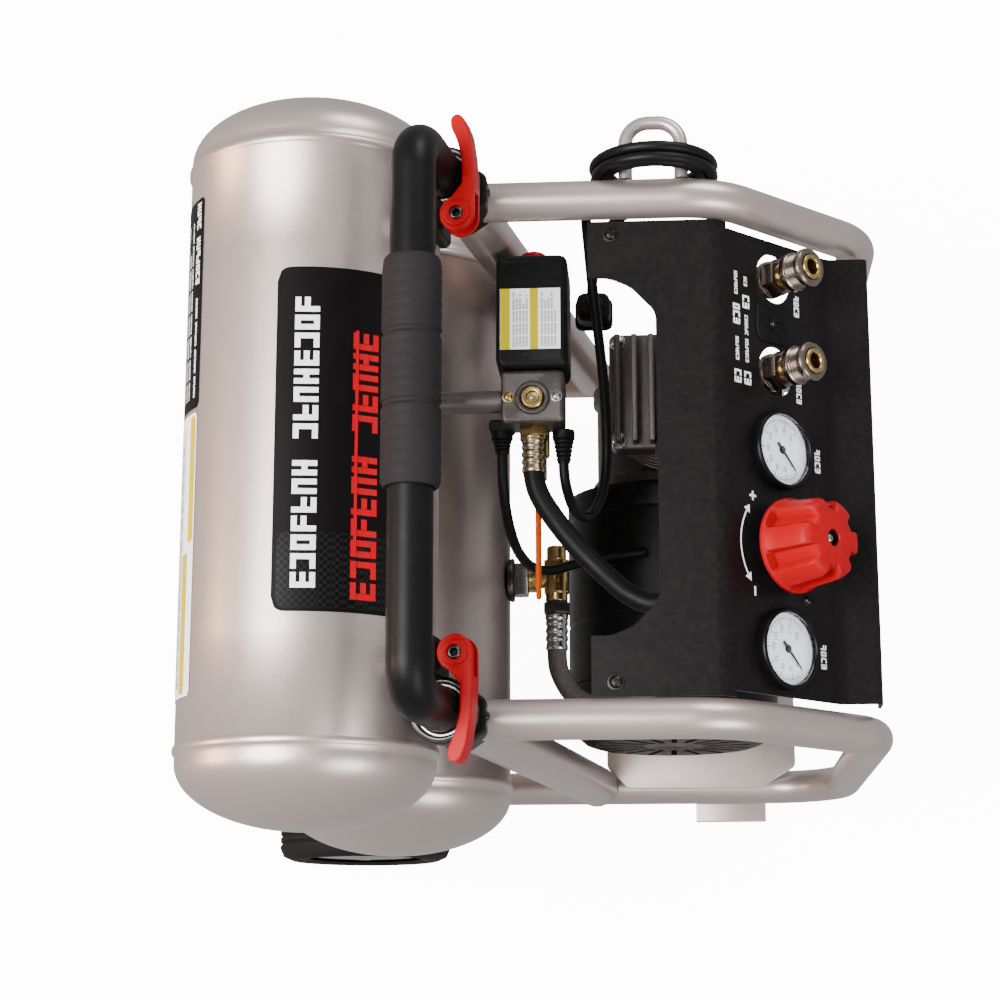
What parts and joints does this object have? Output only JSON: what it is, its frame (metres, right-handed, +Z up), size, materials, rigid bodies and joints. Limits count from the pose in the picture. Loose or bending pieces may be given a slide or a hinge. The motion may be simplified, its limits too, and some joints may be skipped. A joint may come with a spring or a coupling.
{
  "type": "air compressor",
  "caption": "Wheeled twin-tank oil-free air compressor: tubular side frames, sloping control panel, telescoping handle with cam clamps, pump and motor on a base plate.",
  "frame": {"origin": "on the floor under the middle of the machine, at the bottom centre of its box without the power cord", "axes": "+Z up, +Y to the rear where the tanks lie, +X to the right of a person facing the control panel"},
  "size_m": [0.47, 0.4532, 0.601],
  "materials": {
    "tank_paint": "satin champagne silver",
    "frame_paint": "satin champagne silver",
    "handle_paint": "satin black",
    "grip_rubber": "matt ribbed",
    "clamp_plastic": "matt black",
    "red_plastic": "satin red",
    "zinc_steel": "zinc plated",
    "panel_paint": "fine black powder coat",
    "gauge_black": "satin black",
    "cast_aluminium": "as cast",
    "brass_fitting": "turned",
    "black_plastic": "fine texture",
    "hose_rubber": "matt",
    "braid_hose": "woven cover",
    "tyre_rubber": "matt",
    "wheel_plastic": "moulded grey",
    "motor_paint": "satin black",
    "rotor_steel": "machined",
    "piston_alloy": "machined",
    "orange_ring": "satin orange",
    "cord_rubber": "matt"
  },
  "bodies": {
    "frame": {"upper_tank": "tank_paint", "lower_tank": "tank_paint", "tank_link_pipe": "tank_paint", "side_frame_left": "frame_paint", "side_frame_right": "frame_paint", "mast_left": "frame_paint", "mast_right": "frame_paint", "clamp_collar_left": "clamp_plastic", "clamp_collar_right": "clamp_plastic", "clamp_bolt_left": "zinc_steel", "clamp_bolt_right": "zinc_steel", "axle": "zinc_steel", "axle_bracket": "frame_paint", "base_plate": "frame_paint", "foot_left": "hose_rubber", "foot_right": "hose_rubber", "control_panel": "panel_paint", "tank_gauge_case": "gauge_black", "tool_gauge_case": "gauge_black", "regulator": "cast_aluminium", "coupler_1_body": "brass_fitting", "coupler_2_body": "brass_fitting", "pressure_switch_cover": "black_plastic", "switch_manifold": "cast_aluminium", "safety_valve": "brass_fitting", "supply_hose": "hose_rubber", "check_valve": "brass_fitting", "delivery_hose": "braid_hose", "motor_housing": "motor_paint", "fan_cover": "black_plastic", "crankcase": "cast_aluminium", "cylinder_head": "cast_aluminium", "intake_filter": "black_plastic", "drain_valve_body": "brass_fitting", "cord_hook": "zinc_steel", "cord_gland": "black_plastic", "motor_lead": "cord_rubber", "cord_lead": "cord_rubber", "cord_tail": "cord_rubber", "cord_coil": "cord_rubber", "cord_plug": "cord_rubber"},
    "handle": {"handle_tube": "handle_paint", "handle_grip": "grip_rubber"},
    "lever_left": {"clamp_lever_left": "red_plastic"},
    "lever_right": {"clamp_lever_right": "red_plastic"},
    "wheel_left": {"tyre_left": "tyre_rubber", "wheel_hub_left": "wheel_plastic"},
    "wheel_right": {"tyre_right": "tyre_rubber", "wheel_hub_right": "wheel_plastic"},
    "knob": {"regulator_knob": "red_plastic"},
    "tank_needle": {"tank_gauge_needle": "gauge_black"},
    "tool_needle": {"tool_gauge_needle": "gauge_black"},
    "coupler_sleeve_1": {"coupler_1_sleeve": "zinc_steel"},
    "coupler_sleeve_2": {"coupler_2_sleeve": "zinc_steel"},
    "stop_button": {"switch_button": "red_plastic"},
    "relief_loop": {"relief_pull_loop": "orange_ring"},
    "drain_lever": {"drain_valve_lever": "red_plastic"},
    "rotor": {"motor_rotor": "rotor_steel", "cooling_fan": "black_plastic"},
    "piston": {"wobble_piston": "piston_alloy"}
  },
  "joints": [
    {"name": "handle_slide", "type": "slide", "parent": "frame", "child": "handle", "axis": [0, 0.1676, 0.9859], "range_m": [0, 0.32]},
    {"name": "lever_left_hinge", "type": "hinge", "parent": "frame", "child": "lever_left", "pos_m": [-0.1365, 0.04378, 0.52747], "axis": [0, 0.1676, 0.9859], "range_deg": [0, 110]},
    {"name": "lever_right_hinge", "type": "hinge", "parent": "frame", "child": "lever_right", "pos_m": [0.1365, 0.04378, 0.52747], "axis": [0, -0.1676, -0.9859], "range_deg": [0, 110]},
    {"name": "wheel_left_spin", "type": "hinge", "parent": "frame", "child": "wheel_left", "pos_m": [-0.2075, 0.159, 0.0665], "axis": [1, 0, 0], "continuous": true},
    {"name": "wheel_right_spin", "type": "hinge", "parent": "frame", "child": "wheel_right", "pos_m": [0.2075, 0.159, 0.0665], "axis": [1, 0, 0], "continuous": true},
    {"name": "regulator_turn", "type": "hinge", "parent": "frame", "child": "knob", "pos_m": [-0.055, -0.16764, 0.44064], "axis": [0, -0.7071, 0.7071], "range_deg": [-1800, 0]},
    {"name": "tank_needle_turn", "type": "hinge", "parent": "frame", "child": "tank_needle", "pos_m": [-0.12, -0.15562, 0.42862], "axis": [0, -0.7071, 0.7071], "range_deg": [-270, 0], "stiffness_Nm_per_rad": 0.0002},
    {"name": "tool_needle_turn", "type": "hinge", "parent": "frame", "child": "tool_needle", "pos_m": [0.009, -0.15562, 0.42862], "axis": [0, -0.7071, 0.7071], "range_deg": [-270, 0], "stiffness_Nm_per_rad": 0.0002},
    {"name": "coupler_1_release", "type": "slide", "parent": "frame", "child": "coupler_sleeve_1", "axis": [0, 0.7071, -0.7071], "range_m": [0, 0.005], "stiffness_N_per_m": 900},
    {"name": "coupler_2_release", "type": "slide", "parent": "frame", "child": "coupler_sleeve_2", "axis": [0, 0.7071, -0.7071], "range_m": [0, 0.005], "stiffness_N_per_m": 900},
    {"name": "stop_button_push", "type": "slide", "parent": "frame", "child": "stop_button", "axis": [1, 0, 0], "range_m": [-0.005, 0]},
    {"name": "relief_pull", "type": "slide", "parent": "frame", "child": "relief_loop", "axis": [-1, 0, 0], "range_m": [0, 0.004], "stiffness_N_per_m": 900},
    {"name": "drain_turn", "type": "hinge", "parent": "frame", "child": "drain_lever", "pos_m": [0, 0.1035, 0.151], "axis": [0, 1, 0], "range_deg": [0, 90]},
    {"name": "motor_spin", "type": "hinge", "parent": "frame", "child": "rotor", "pos_m": [-0.03, -0.084, 0.15], "axis": [1, 0, 0], "continuous": true},
    {"name": "piston_stroke", "type": "slide", "parent": "frame", "child": "piston", "axis": [0, 0, 1], "range_m": [-0.01, 0.01]}
  ]
}
